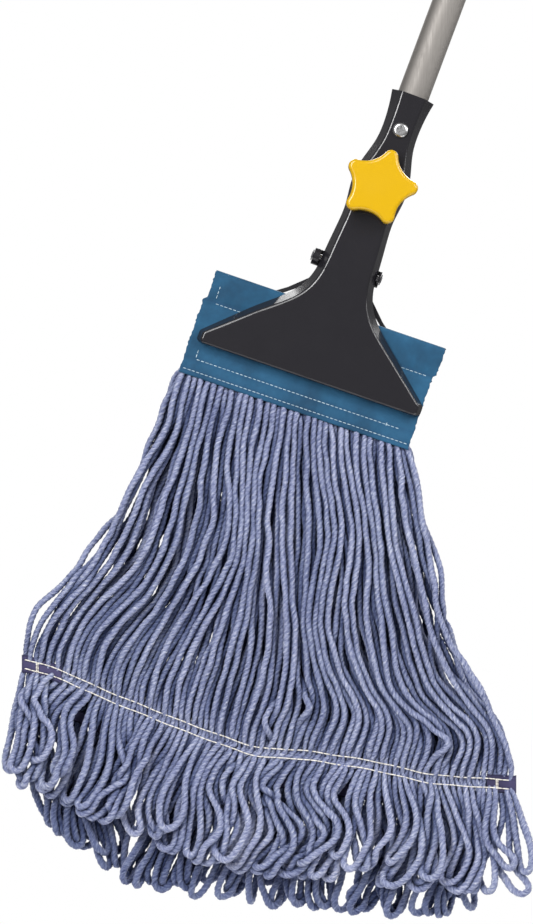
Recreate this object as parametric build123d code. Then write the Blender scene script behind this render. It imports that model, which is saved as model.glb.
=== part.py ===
from build123d import *
import math
import os

# A looped-end wet mop: an aluminium tube, a two-jaw plastic clamp closed by a star knob, and a
# yarn head with a wide headband and a stitched tailband on each half.
# Millimetres, +Z up. The origin is on the tube's axis at the mouth of the clamp's socket.
# The handle leans towards +X, the clamp's front faces -Y, and the yarn hangs along -Z.
# Stiff parts are drawn on an upright handle, z = 0 at the socket's mouth, and leaned as one.

lean_angle = 20.5
running_gap = 0.05        # radial clearance of a shaft in its hole
slide_gap = 0.3           # clearance between parts that slide or swing past each other

# Handle
tube_radius = 12.5
tube_wall = 1.3
tube_top = 1360
tube_depth = 60           # how far the tube goes into the socket
grip_radius = 15
grip_bottom = 1258
eye_thick = 14
eye_width = 25
eye_height = 1377         # centre of the hang hole
hang_radius = 4.5

# Clamp, seen from the front: half widths, and drops below the socket's mouth
back_outline = [
    (17.4, 0), (14.6, 24), (15.6, 42), (20.8, 62), (22.3, 79), (20.3, 98), (21.0, 116),
    (23.0, 140), (24.2, 153), (30.4, 169.5), (46.5, 187), (62.3, 200.6),
]
front_outline = [
    (9.6, 0), (9.2, 24), (10.2, 42), (14.8, 61), (17.6, 79), (15.6, 98), (16.2, 116),
    (17.8, 140), (19.2, 155), (25.2, 173), (42.0, 191.5), (58.0, 205),
]
back_tip = (93, 228.5)
front_tip = (87.5, 230)
lip_drop = 238
lip_skew = 1.5            # the lip is this many degrees out of square with the handle
band_plane = 5.3          # the jaws' lips stand this far from the clamp's middle plane
neck_back = 4             # the neck's side walls reach back to here
front_face = 19           # the neck's flat face stands this far in front of the tube's axis
lip_face = 14             # the same at the lip, where the face slopes back
slope_start = 150
shoulder_drop = 178       # below this the headband passes between the jaws
wall = 3
tip_round = 6
tip_corner = 4           # the front jaw's corners, outside and in its hollow
inner_corner = 2
edge_round = 2.2

# Socket and its screw
socket_floor = 66
socket_radius = 14.1
screw_drop = 29.5
screw_radius = 2.5
screw_seat = 17           # flat boss for the washer behind the socket

# Knob and its stud
knob_drop = 77.5
knob_turn = 17
lobes = 5
lobe_tip = 30
lobe_round = 5.5
valley = 21.3
knob_face = 38
knob_under = 25
hub_radius = 12
hub_under = 20
stud_radius = 5
stud_tip = 6.2
insert_radius = 7
boss_radius = 10
boss_end = -7.5
pad_radius = 7
pad_back = 3.8

# Rear jaw and its hinge
arm_plane = 9             # inner face of the rear jaw's upper arm
arm_half = 12.5
arm_top = 70
hinge_drop = 144
hinge_depth = -1
pin_radius = 2.5
ear_radius = 6.5
ears = {-1: (24.7, 29.9), 1: (24.5, 26.1)}    # inner and outer face of each ear, by side
clip_thick = 0.8
pin_past_clip = 0.4
rear_thick = 3.7
rear_rim = 2.6
rear_rib = 15
rear_outline = [
    (arm_half, arm_top), (arm_half, 114), (20.5, 130), (20.5, 152), (25, 160), (39.9, 174.4), (50, 182),
    (66, 195.5), (92, 221), (92, lip_drop),
]
rear_window = [(31, 171), (40, 178.5), (50, 186), (78, 212), (78, 218), (31, 218)]

# Torsion spring
spring_wire = 0.8
spring_pitch = 1.9
spring_turns = 5.5
spring_leg = 24
coil_radius = 5.2

# Headband, on the clamp but turned a little in its jaws
band_half = 96
band_top = 181
band_seam = 204
band_bottom = 265
band_middle = (band_top + band_bottom) / 2
band_turn = 1.6
band_shift = -1.5
tape = 1.2
fold_shift = 5            # the fold above the seam sits this far to the right
band_outer = band_plane - slide_gap
band_inner = band_outer - tape
core_margin = 3           # the sewn yarn ends this far inside the headband's ends
core_drop = 2             # and this far below its seam

# Yarn: each row is the left, middle and right point, in x and z, of a curve across the head
front_rows = {
    "middle": ((-246, -350), (-112, -386), (26, -380)),
    "tail": ((-304, -446), (-123, -514), (78, -541)),
    "end": ((-322, -538), (-122, -612), (95, -631)),
}
back_rows = {
    "middle": ((-236, -356), (-112, -392), (12, -392)),
    "tail": ((-284, -480), (-120, -538), (44, -562)),
    "end": ((-296, -572), (-118, -640), (52, -652)),
}
tail_half = 7             # half the tailband's height
tail_thick = 1            # the tailband lies on the inner face of each half
yarn_gap = 1.5            # half the gap between the front and back halves
row_nears = {"band": yarn_gap, "middle": yarn_gap, "tail": yarn_gap + tail_thick, "end": yarn_gap}
row_depths = {"band": 7, "middle": 22, "tail": 11, "end": 26}
bundles = 5


def on_handle(part):
    """Turns a part drawn on the upright handle to its place on the leaning one."""
    return Rot(0, lean_angle, 0) * part


def across(part, x=0, y=0, drop=0):
    """Lays a part drawn along +Z so that it points backwards, along +Y."""
    return Pos(x, y, -drop) * Rot(-90, 0, 0) * part


def along_pin(part, x=0):
    """Lays a part drawn along +Z so that it runs along the hinge, in +X."""
    return Pos(x, hinge_depth, -hinge_drop) * Rot(0, 90, 0) * part


def rod(radius, start, end):
    """A cylinder along +Z from start to end."""
    return Pos(0, 0, start) * Cylinder(radius, end - start, align=(Align.CENTER, Align.CENTER, Align.MIN))


def slab(x0, x1, y0, y1, drop0, drop1):
    """A block between two widths, two depths and two drops."""
    return Pos((x0 + x1) / 2, (y0 + y1) / 2, -(drop0 + drop1) / 2) * Box(x1 - x0, y1 - y0, drop1 - drop0)


def skewed(x, drop):
    """The lip's slope, blended in below the shoulders."""
    share = min(1, max(0, (drop - 195) / 30))
    return (x, -(drop - share * x * math.tan(math.radians(lip_skew))))


def inset(points, distance):
    """Moves each point of a half outline inwards, square to the outline."""
    moved = []
    for i, (x, drop) in enumerate(points):
        ahead = points[min(i + 1, len(points) - 1)]
        behind = points[max(i - 1, 0)]
        dx = ahead[0] - behind[0]
        dd = ahead[1] - behind[1]
        length = math.hypot(dx, dd)
        moved.append((x - distance * dd / length, drop + distance * dx / length))
    return moved


def outline_face(points, tip, y, lip=lip_drop, corner=tip_corner):
    """The clamp's outline as a face at depth y: curved flanks, straight shoulders and lip."""
    right = [skewed(x, drop) for x, drop in points]
    left = [skewed(-x, drop) for x, drop in points]
    right_tip = [skewed(tip[0], tip[1]), skewed(tip[0], lip)]
    left_tip = [skewed(-tip[0], tip[1]), skewed(-tip[0], lip)]
    edges = [
        Spline(*right),
        Line(right[-1], right_tip[0]),
        Line(right_tip[0], right_tip[1]),
        Line(right_tip[1], left_tip[1]),
        Line(left_tip[1], left_tip[0]),
        Line(left_tip[0], left[-1]),
        Spline(*reversed(left)),
        Line(left[0], right[0]),
    ]
    flat = make_face(Wire(edges))
    flat = fillet([v for v in flat.vertices() if abs(v.X) > tip[0] - 1], corner)
    return Plane(origin=(0, y, 0), x_dir=(1, 0, 0), z_dir=(0, -1, 0)) * flat


def face_slope(y_shift):
    """Everything in front of the clamp's face, which slopes back towards the lip."""
    slope = (front_face - lip_face) / (lip_drop - slope_start)
    far = lip_drop + 20
    profile = [
        (-front_face + y_shift, -slope_start),
        (-front_face + y_shift + slope * (far - slope_start), -far),
        (-60, -far),
        (-60, -slope_start),
    ]
    side = make_face(Polyline(*profile, close=True))
    return Plane(origin=(-150, 0, 0), x_dir=(0, 1, 0), z_dir=(1, 0, 0)) * extrude(side, 300)


def star(tip, lobe, dip):
    """A star with round lobes and hollow sides, as one face."""
    step = math.pi / lobes
    c1 = tip - lobe
    # The side arc's centre lies past the dip, where it just touches two lobe circles.
    top = c1**2 + dip**2 - 2 * c1 * dip * math.cos(step) - lobe**2
    side = top / (2 * lobe + 2 * c1 * math.cos(step) - 2 * dip)
    c2 = dip + side
    share = lobe / (lobe + side)
    edges = []
    for k in range(lobes):
        a = 2 * k * step + math.radians(knob_turn)
        middle = Vector(c1 * math.cos(a), c1 * math.sin(a))
        before = Vector(c2 * math.cos(a - step), c2 * math.sin(a - step))
        after = Vector(c2 * math.cos(a + step), c2 * math.sin(a + step))
        start = middle + (before - middle) * share
        end = middle + (after - middle) * share
        peak = Vector(tip * math.cos(a), tip * math.sin(a))
        low = Vector(dip * math.cos(a + step), dip * math.sin(a + step))
        following = 2 * (k + 1) * step + math.radians(knob_turn)
        ahead = Vector(c1 * math.cos(following), c1 * math.sin(following))
        edges.append(ThreePointArc(start, peak, end))
        edges.append(ThreePointArc(end, low, ahead + (after - ahead) * share))
    return make_face(Wire(edges))


def make_tube():
    tube = rod(tube_radius, -tube_depth, tube_top) - rod(tube_radius - tube_wall, -tube_depth, tube_top)
    return tube - across(rod(screw_radius + running_gap, -30, 30), drop=screw_drop)


def make_grip():
    body = rod(grip_radius, grip_bottom, tube_top + 4)
    body = chamfer(body.edges().group_by(Axis.Z)[0], 1)
    tab = Pos(0, 0, tube_top) * Box(eye_width, eye_thick, eye_height - tube_top,
                                    align=(Align.CENTER, Align.CENTER, Align.MIN))
    eye = across(rod(eye_width / 2, -eye_thick / 2, eye_thick / 2), drop=-eye_height)
    body += tab + eye
    body -= rod(tube_radius + running_gap, grip_bottom - 5, tube_top)
    return body - across(rod(hang_radius, -20, 20), drop=-eye_height)


def make_front_jaw():
    solid = loft([outline_face(back_outline, back_tip, -band_plane),
                  outline_face(front_outline, front_tip, -front_face)], ruled=True)
    neck = extrude(outline_face(back_outline, back_tip, neck_back), band_plane + neck_back)
    solid += neck & slab(-60, 60, -band_plane, neck_back, -1, shoulder_drop)
    solid -= face_slope(0)
    front_edges = [e for e in solid.edges() if e.center().Y < -lip_face + 2 and e.length > 60
                   and abs(e.center().X) > 5]
    solid = fillet(front_edges, edge_round)

    # The hollow, open at the back
    room_lip = lip_drop - wall
    room_back = outline_face(inset(back_outline, wall), (back_tip[0] - wall, back_tip[1] + wall / 2),
                             -band_plane, room_lip, inner_corner)
    room_front = outline_face(inset(front_outline, wall), (front_tip[0] - wall, front_tip[1] + wall / 2),
                              wall - front_face, room_lip, inner_corner)
    room = loft([room_back, room_front], ruled=True)
    room -= face_slope(wall)
    behind = extrude(outline_face(inset(back_outline, wall), (back_tip[0] - wall, back_tip[1]),
                                  neck_back + 1, room_lip, inner_corner), band_plane + neck_back + 1)
    room += behind
    solid -= room & slab(-120, 120, -40, 40, socket_floor, lip_drop)

    # Ribs behind the face: two along the lip, two down the neck
    for drop in (212, 223):
        rib = slab(-70, 70, -front_face, -band_plane, drop, drop + 2.5)
        solid += rib - face_slope(1)
    for x in (-9, 9):
        rib = slab(x - 1.2, x + 1.2, -front_face + 1, -10, 88, 230)
        solid += rib - face_slope(1)

    solid += slab(-11, 11, 1 - front_face, hinge_depth - coil_radius - spring_wire - 0.2, 163, 166)

    # Socket, flared at its mouth
    flare = make_face(Polyline((0, 0), (16.8, 0), (14.8, -12), (socket_radius, -24),
                               (socket_radius, -socket_floor), (0, -socket_floor), close=True))
    solid += revolve(Plane.XZ * flare, Axis.Z)
    solid += across(rod(6.5, 10, screw_seat), drop=screw_drop)
    solid -= rod(tube_radius + running_gap, -tube_depth, 5)
    solid -= across(rod(screw_radius + running_gap, -30, 30), drop=screw_drop)

    # Boss for the threaded insert, and the hinge holes
    solid += across(rod(boss_radius, -front_face + 1, boss_end), drop=knob_drop)
    solid -= across(rod(insert_radius, -30, 0), drop=knob_drop)
    return solid - along_pin(rod(pin_radius + running_gap, -40, 40))


def arm_side(shift):
    """Everything in front of the rear jaw's inner face, which steps back along the arm."""
    profile = [(-20, -50), (arm_plane + shift, -50), (arm_plane + shift, -154), (band_plane + shift, -163),
               (band_plane + shift, -260), (-20, -260)]
    side = make_face(Polyline(*profile, close=True))
    return Plane(origin=(-120, 0, 0), x_dir=(0, 1, 0), z_dir=(1, 0, 0)) * extrude(side, 240)


def make_rear_jaw():
    right = [skewed(x, drop) for x, drop in rear_outline]
    left = [skewed(-x, drop) for x, drop in rear_outline]
    flat = make_face(Polyline(*right, *reversed(left), close=True))
    flat = fillet([v for v in flat.vertices() if v.Y < 25 - lip_drop], tip_round)
    flat = fillet([v for v in flat.vertices() if v.Y > -arm_top - 1], 3)
    inner = offset(flat, -rear_rim, kind=Kind.INTERSECTION)
    facing = Plane(origin=(0, rear_rib, 0), x_dir=(1, 0, 0), z_dir=(0, -1, 0))
    solid = facing * extrude(flat, rear_rib) - arm_side(0)
    solid -= facing * extrude(inner, rear_rib) - arm_side(rear_thick)

    # Windows under the shoulders, and ribs across the back
    for side in (-1, 1):
        hole = make_face(Polyline(*[skewed(side * x, drop) for x, drop in rear_window], close=True))
        hole = fillet(hole.vertices(), 2)
        solid -= facing * extrude(hole, rear_rib)
        solid += slab(side * 26 - 1.3, side * 26 + 1.3, band_plane + 1, rear_rib - 1, 166, 224)
    solid += slab(-86, 86, band_plane + 1, rear_rib - 1, 223, 225.5)
    solid += slab(-20, 20, arm_plane + 1, rear_rib - 1, 128, 130.5)

    # Ears outside the neck, on the hinge pin
    for side, (ear_in, ear_out) in ears.items():
        low, high = sorted((side * ear_in, side * ear_out))
        solid += along_pin(rod(ear_radius, low, high))
        solid += slab(low, high, hinge_depth, arm_plane + 3, hinge_drop - ear_radius, hinge_drop + ear_radius)
        low, high = sorted((side * 18, side * ear_out))
        solid += slab(low, high, arm_plane, arm_plane + 3, hinge_drop - ear_radius, hinge_drop + ear_radius)
    return solid - along_pin(rod(pin_radius + running_gap, -40, 40))


def make_knob():
    flat = star(lobe_tip, lobe_round, valley)
    facing = Plane(origin=(0, -knob_under, -knob_drop), x_dir=(1, 0, 0), z_dir=(0, -1, 0))
    body = extrude(flat, knob_face - knob_under)
    body = fillet(body.edges().group_by(Axis.Z)[-1], 3)
    body = fillet(body.edges().group_by(Axis.Z)[0], 1.2)
    knob = facing * body
    knob += across(rod(hub_radius, -knob_under - 1, -hub_under), drop=knob_drop)
    return knob - across(rod(stud_radius - running_gap, -34, 0), drop=knob_drop)


def make_pad():
    dome = make_face(Polyline((0, pad_back), (pad_radius, pad_back), (pad_radius, 6.4), (4, 8.1), (0, 8.7),
                              close=True))
    pad = revolve(Plane(origin=(0, 0, 0), x_dir=(1, 0, 0), z_dir=(0, -1, 0)) * dome, Axis.Z)
    pad -= rod(stud_radius, pad_back - 1, stud_tip + 0.1)
    return across(pad, drop=knob_drop)


def make_screw():
    head = rod(6, -front_face - 3.2, -front_face)
    head = fillet(head.edges().group_by(Axis.Z)[0], 2.4)
    head += rod(screw_radius, -front_face, 26)
    slot = Box(1.3, 6.4, 2.2) + Box(6.4, 1.3, 2.2)
    return across(head - Pos(0, 0, -front_face - 3) * slot, drop=screw_drop)


def make_nut():
    flat = RegularPolygon(4, 6, major_radius=False)
    nut = extrude(flat, 4) - rod(screw_radius, -1, 6)
    return across(Pos(0, 0, screw_seat + 1) * nut, drop=screw_drop)


def make_stud():
    return across(rod(stud_radius - running_gap, -34, stud_tip), drop=knob_drop)


def make_insert():
    insert = rod(insert_radius, 0.5 - front_face, boss_end) - rod(stud_radius, -30, 0)
    return across(insert, drop=knob_drop)


def make_washer():
    ring = rod(5, screw_seat, screw_seat + 1) - rod(screw_radius, 0, 30)
    return across(ring, drop=screw_drop)


def clip_faces(side):
    """The inner and outer face of the retaining ring on one side, outside that side's ear."""
    inner = side * (ears[side][1] + slide_gap)
    return inner, inner + side * clip_thick


def make_pin():
    left, right = [clip_faces(side)[1] + side * pin_past_clip for side in (-1, 1)]
    return along_pin(rod(pin_radius, left, right))


def make_clips():
    """A retaining ring on each end of the pin, outside the ears."""
    rings = []
    for side in (-1, 1):
        low, high = sorted(clip_faces(side))
        rings.append(along_pin(rod(4.5, low, high) - rod(pin_radius, -40, 40)))
    return rings[0] + rings[1]


def make_spring():
    """A torsion spring round the pin, one leg behind the front face and one on the rear jaw."""
    length = spring_pitch * spring_turns
    helix = Helix(spring_pitch, length, coil_radius)
    first = Plane(origin=helix @ 0, z_dir=-(helix % 0)) * Circle(spring_wire)
    last = Plane(origin=helix @ 1, z_dir=helix % 1) * Circle(spring_wire)
    pieces = [sweep(first, path=helix), extrude(first, spring_leg), extrude(last, spring_leg)]
    return [along_pin(Rot(0, 0, 90) * Pos(0, 0, -length / 2) * piece) for piece in pieces]


def band_place():
    """Where the headband's middle is held in the jaws, and how far it is turned."""
    return Rot(0, lean_angle, 0) * Pos(band_shift, 0, -band_middle) * Rot(0, -band_turn, 0)


def band_piece(x0, x1, y0, y1, drop0, drop1):
    """A layer of the headband."""
    return band_place() * slab(x0, x1, y0, y1, drop0 - band_middle, drop1 - band_middle)


def band_foot(x):
    """A point on the headband's lower edge, with a little room below it, as x and z."""
    point = (band_place() * Pos(x, 0, band_middle - band_bottom - 0.2)).position
    return (point.X, point.Z)


def yarn_point(rows, name, share):
    """A point on a row's curve, from its left end at 0 to its right end at 1."""
    foot = [band_foot(x) for x in (2 - band_half, 0, band_half - 2)]
    left, middle, right = foot if name == "band" else rows[name]
    a = (1 - share) * (1 - 2 * share)
    b = 4 * share * (1 - share)
    c = share * (2 * share - 1)
    return (a * left[0] + b * middle[0] + c * right[0], a * left[1] + b * middle[1] + c * right[1])


def yarn_section(ends, near, far):
    """A strip across a bundle, from its near depth to its far one."""
    (x0, z0), (x1, z1) = ends
    corners = [(x0, near, z0), (x1, near, z1), (x1, far, z1), (x0, far, z0)]
    return Face(Wire(Polyline(*corners, close=True).edges()))


def make_bundle(rows, side, k):
    """One bundle of strings, from the headband over the tailband to the ends of its loops."""
    sections = []
    for name, rise in (("band", 0), ("middle", 0), ("tail", tail_half), ("tail", -tail_half), ("end", 0)):
        ends = []
        for share in (k / bundles, (k + 1) / bundles):
            x, z = yarn_point(rows, name, share)
            ends.append((x, z + rise))
        sections.append(yarn_section(ends, side * row_nears[name], side * row_depths[name]))
    return loft(sections, ruled=True)


def make_tailband(rows, side):
    """The tape along the inner face of one half, as long as the half is wide."""
    near = side * yarn_gap
    far = near + side * tail_thick
    sections = []
    for i in range(bundles + 1):
        x, z = yarn_point(rows, "tail", i / bundles)
        low, high = z - tail_half, z + tail_half
        corners = [(x, near, low), (x, far, low), (x, far, high), (x, near, high)]
        sections.append(Face(Wire(Polyline(*corners, close=True).edges())))
    return loft(sections, ruled=True)


parts = {
    "handle_tube": on_handle(make_tube()),
    "handle_grip": on_handle(make_grip()),
    "front_jaw": on_handle(make_front_jaw()),
    "rear_jaw": on_handle(make_rear_jaw()),
    "torsion_spring": Compound([on_handle(piece).solid() for piece in make_spring()]),
    "hinge_pin": on_handle(make_pin()),
    "pin_clips": on_handle(make_clips()),
    "star_knob": on_handle(make_knob()),
    "knob_stud": on_handle(make_stud()),
    "thread_insert": on_handle(make_insert()),
    "pressure_pad": on_handle(make_pad()),
    "socket_screw": on_handle(make_screw()),
    "socket_washer": on_handle(make_washer()),
    "socket_nut": on_handle(make_nut()),
    "headband_front": band_piece(-band_half, band_half, -band_outer, -band_inner, band_seam, band_bottom),
    "headband_back": band_piece(-band_half, band_half, band_inner, band_outer, band_seam, band_bottom),
    "headband_fold": band_piece(fold_shift - band_half, fold_shift + band_half, -tape, tape, band_top,
                                band_seam),
    "yarn_core": band_piece(core_margin - band_half, band_half - core_margin, -band_inner, band_inner,
                            band_seam + core_drop, band_bottom),
}
for k in range(bundles):
    parts[f"front_yarn_{k + 1}"] = make_bundle(front_rows, -1, k)
    parts[f"back_yarn_{k + 1}"] = make_bundle(back_rows, 1, k)
parts["front_tailband"] = make_tailband(front_rows, -1)
parts["back_tailband"] = make_tailband(back_rows, 1)

os.makedirs("parts", exist_ok=True)
for name, part in parts.items():
    export_step(part, f"parts/{name}.step")
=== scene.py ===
import bpy
import math
import numpy as np
from mathutils import Matrix, Vector


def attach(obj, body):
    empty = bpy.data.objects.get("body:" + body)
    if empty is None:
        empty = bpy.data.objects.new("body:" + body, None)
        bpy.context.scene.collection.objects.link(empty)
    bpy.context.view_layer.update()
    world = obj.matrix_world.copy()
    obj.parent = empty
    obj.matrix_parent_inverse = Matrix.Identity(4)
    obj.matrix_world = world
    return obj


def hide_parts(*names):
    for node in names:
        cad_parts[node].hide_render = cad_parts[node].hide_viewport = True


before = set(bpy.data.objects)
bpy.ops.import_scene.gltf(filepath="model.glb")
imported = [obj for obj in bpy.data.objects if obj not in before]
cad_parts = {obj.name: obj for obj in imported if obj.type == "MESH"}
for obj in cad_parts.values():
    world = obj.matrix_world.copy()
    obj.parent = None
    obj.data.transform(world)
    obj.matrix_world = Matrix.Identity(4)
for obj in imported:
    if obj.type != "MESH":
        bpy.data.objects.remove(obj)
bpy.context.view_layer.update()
print("frame loaded,", len(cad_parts), "nodes")

mm = 0.001
chance = np.random.default_rng(11)


# Helpers

def linearColour(text):
    values = [int(text[i:i + 2], 16) / 255 for i in (1, 3, 5)]
    return tuple(v / 12.92 if v <= 0.04045 else ((v + 0.055) / 1.055) ** 2.4 for v in values) + (1.0,)


def addNode(tree, kind, settings, links=(), stops=()):
    # settings are properties or sockets by name, links are (socket, source) pairs, stops are a ramp's colours
    node = tree.nodes.new("ShaderNode" + kind)
    for k, (place, text) in enumerate(stops):
        element = node.color_ramp.elements[k] if k < 2 else node.color_ramp.elements.new(place)
        element.position = place
        element.color = linearColour(text)
    for name, value in settings.items():
        if isinstance(name, str) and hasattr(node, name):
            setattr(node, name, value)
        else:
            node.inputs[name].default_value = value
    for name, source in links:
        tree.links.new(source, node.inputs[name])
    return node


def newMaterial(name, settings):
    material = bpy.data.materials.new(name)
    material.use_nodes = True
    shader = material.node_tree.nodes["Principled BSDF"]
    for key, value in settings.items():
        shader.inputs[key].default_value = value
    return material, material.node_tree, shader


def makeMesh(name, points, faces, material, uv=None, shade=None):
    # shade is a tone for each point, multiplied into the material: painted shade where strings crowd, in the grooves
    # between plies and where a seam pulls in, a painted highlight along one crease of the headband, darker tape
    # selvedges and a tone that differs from string to string
    mesh = bpy.data.meshes.new(name)
    mesh.from_pydata(points, [], faces)
    mesh.polygons.foreach_set("use_smooth", np.ones(len(mesh.polygons), dtype=bool))
    if uv is not None:
        layer = mesh.uv_layers.new(name="UVMap")
        layer.data.foreach_set("uv", np.asarray(uv, dtype=np.float32).ravel())
    if shade is not None:
        tones = np.asarray(shade, dtype=np.float32)
        # the painted shade turns bluer as it darkens, red and green falling faster than blue
        tinted = np.stack([tones**1.22, tones**1.09, tones**0.82, np.ones_like(tones)], axis=1)
        colours = mesh.color_attributes.new("shade", "FLOAT_COLOR", "POINT")
        colours.data.foreach_set("color", tinted.ravel())
    mesh.update()
    mesh.materials.append(material)
    thing = bpy.data.objects.new(name, mesh)
    bpy.context.scene.collection.objects.link(thing)
    return thing


# Materials

def twistedCottonYarn():
    # Heathered cotton: matt and mottled, with pale and dark fibres along each ply and a soft sheen
    material, tree, shader = newMaterial("twistedCottonYarn", {
        "Roughness": 0.95, "Sheen Weight": 0.08, "Sheen Roughness": 0.5, "Specular IOR Level": 0.1,
    })
    # U goes once round the string and V along it in metres: clumps are 3 mm long and fibres 2.4 mm
    place = addNode(tree, "UVMap", {"uv_map": "UVMap"})
    clumps = addNode(tree, "Mapping", {"Scale": (9, 330, 1)}, [("Vector", place.outputs["UV"])])
    clumpNoise = addNode(tree, "TexNoise", {"Scale": 1.0, "Detail": 2.0, "Roughness": 0.6},
                         [("Vector", clumps.outputs["Vector"])])
    fibres = addNode(tree, "Mapping", {"Scale": (22, 420, 1)}, [("Vector", place.outputs["UV"])])
    fibreNoise = addNode(tree, "TexNoise", {"Scale": 1.0, "Detail": 3.0, "Roughness": 0.7},
                         [("Vector", fibres.outputs["Vector"])])
    spots = addNode(tree, "TexCoord", {})
    dyeNoise = addNode(tree, "TexNoise", {"Scale": 24.0, "Detail": 2.0}, [("Vector", spots.outputs["Object"])])
    coarse = addNode(tree, "Math", {"operation": "MULTIPLY_ADD", 1: 0.25},
                     [(0, dyeNoise.outputs["Fac"]), (2, clumpNoise.outputs["Fac"])])
    mixed = addNode(tree, "Math", {"operation": "MULTIPLY_ADD", 1: 0.8},
                    [(0, fibreNoise.outputs["Fac"]), (2, coarse.outputs[0])])
    spread = addNode(tree, "MapRange", {"From Min": 0.64, "From Max": 1.42}, [("Value", mixed.outputs[0])])
    colour = addNode(tree, "ValToRGB", {}, [("Fac", spread.outputs["Result"])],
                     [(0.1, "#444b6b"), (0.42, "#8288a8"), (0.66, "#a2a7be"), (0.86, "#cdd0da")])
    # the fibres' colour is multiplied by the painted shade stored in the mesh
    shade = addNode(tree, "VertexColor", {"layer_name": "shade"})
    darker = addNode(tree, "MixRGB", {"blend_type": "MULTIPLY", "Fac": 1.0},
                     [("Color1", colour.outputs["Color"]), ("Color2", shade.outputs["Color"])])
    bump = addNode(tree, "Bump", {"Strength": 0.6, "Distance": 0.0005}, [("Height", mixed.outputs[0])])
    tree.links.new(darker.outputs["Color"], shader.inputs["Base Color"])
    tree.links.new(bump.outputs["Normal"], shader.inputs["Normal"])
    return material


def wovenTape(name, colours):
    # Tightly woven polyester tape: smooth satin with a fine plain weave and slightly uneven dye
    material, tree, shader = newMaterial(name, {"Roughness": 0.7, "Sheen Weight": 0.08, "Specular IOR Level": 0.25})
    place = addNode(tree, "TexCoord", {})
    threads = 0.9 * mm     # the real threads are 0.45 mm apart, drawn twice as coarse so that they show
    weaveScale = math.pi / 10 / threads
    warp, weft = [addNode(tree, "TexWave", {"wave_type": "BANDS", "bands_direction": way, "Scale": weaveScale,
                                            "Distortion": 1.5, "Detail": 2.0}, [("Vector", place.outputs["Object"])])
                  for way in ("X", "Z")]
    weave = addNode(tree, "Math", {"operation": "MULTIPLY"}, [(0, warp.outputs["Fac"]), (1, weft.outputs["Fac"])])
    patches = addNode(tree, "TexNoise", {"Scale": 30.0, "Detail": 5.0, "Roughness": 0.65},
                      [("Vector", place.outputs["Object"])])
    colour = addNode(tree, "ValToRGB", {}, [("Fac", patches.outputs["Fac"])],
                     [(0.3, colours[0]), (0.5, colours[1]), (0.72, colours[2])])
    threadTint = addNode(tree, "MixRGB", {"blend_type": "MULTIPLY", "Fac": 0.12},
                         [("Color1", colour.outputs["Color"]), ("Color2", weave.outputs[0])])
    # the cloth's colour is multiplied by the painted shade and painted highlight stored in the mesh
    shade = addNode(tree, "VertexColor", {"layer_name": "shade"})
    darker = addNode(tree, "MixRGB", {"blend_type": "MULTIPLY", "Fac": 1.0},
                     [("Color1", threadTint.outputs["Color"]), ("Color2", shade.outputs["Color"])])
    bump = addNode(tree, "Bump", {"Strength": 0.35, "Distance": 0.0002}, [("Height", weave.outputs[0])])
    tree.links.new(darker.outputs["Color"], shader.inputs["Base Color"])
    tree.links.new(bump.outputs["Normal"], shader.inputs["Normal"])
    return material


def sewingThread(name, colours):
    # Spun polyester thread, matt with a fine twist
    material, tree, shader = newMaterial(name, {"Roughness": 0.7, "Sheen Weight": 0.2})
    place = addNode(tree, "TexCoord", {})
    twist = addNode(tree, "TexNoise", {"Scale": 900.0, "Detail": 2.0}, [("Vector", place.outputs["Object"])])
    colour = addNode(tree, "ValToRGB", {}, [("Fac", twist.outputs["Fac"])], [(0.3, colours[0]), (0.6, colours[1])])
    tree.links.new(colour.outputs["Color"], shader.inputs["Base Color"])
    return material


def glossyAbs(name, text, roughness):
    # Injection moulded ABS: glossy with a faint flow ripple and slightly uneven gloss
    material, tree, shader = newMaterial(name, {"Base Color": linearColour(text), "Roughness": roughness,
                                                "IOR": 1.53})
    place = addNode(tree, "TexCoord", {})
    haze = addNode(tree, "TexNoise", {"Scale": 60.0, "Detail": 4.0}, [("Vector", place.outputs["Object"])])
    gloss = addNode(tree, "MapRange", {"To Min": roughness * 0.8, "To Max": roughness * 1.35},
                    [("Value", haze.outputs["Fac"])])
    ripple = addNode(tree, "TexNoise", {"Scale": 220.0, "Detail": 2.0}, [("Vector", place.outputs["Object"])])
    bump = addNode(tree, "Bump", {"Strength": 0.03, "Distance": 0.0003}, [("Height", ripple.outputs["Fac"])])
    tree.links.new(gloss.outputs["Result"], shader.inputs["Roughness"])
    tree.links.new(bump.outputs["Normal"], shader.inputs["Normal"])
    return material


def satinMetal(name, text, roughness):
    # Metal with a fine lengthwise grain from drawing or plating
    material, tree, shader = newMaterial(name, {"Base Color": linearColour(text), "Metallic": 1.0,
                                                "Roughness": roughness})
    place = addNode(tree, "TexCoord", {})
    grain = addNode(tree, "Mapping", {"Scale": (900, 900, 12)}, [("Vector", place.outputs["Object"])])
    lines = addNode(tree, "TexNoise", {"Scale": 1.0, "Detail": 2.0}, [("Vector", grain.outputs["Vector"])])
    gloss = addNode(tree, "MapRange", {"To Min": roughness * 0.8, "To Max": roughness * 1.25},
                    [("Value", lines.outputs["Fac"])])
    bump = addNode(tree, "Bump", {"Strength": 0.1, "Distance": 0.0001}, [("Height", lines.outputs["Fac"])])
    tree.links.new(gloss.outputs["Result"], shader.inputs["Roughness"])
    tree.links.new(bump.outputs["Normal"], shader.inputs["Normal"])
    return material


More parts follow.
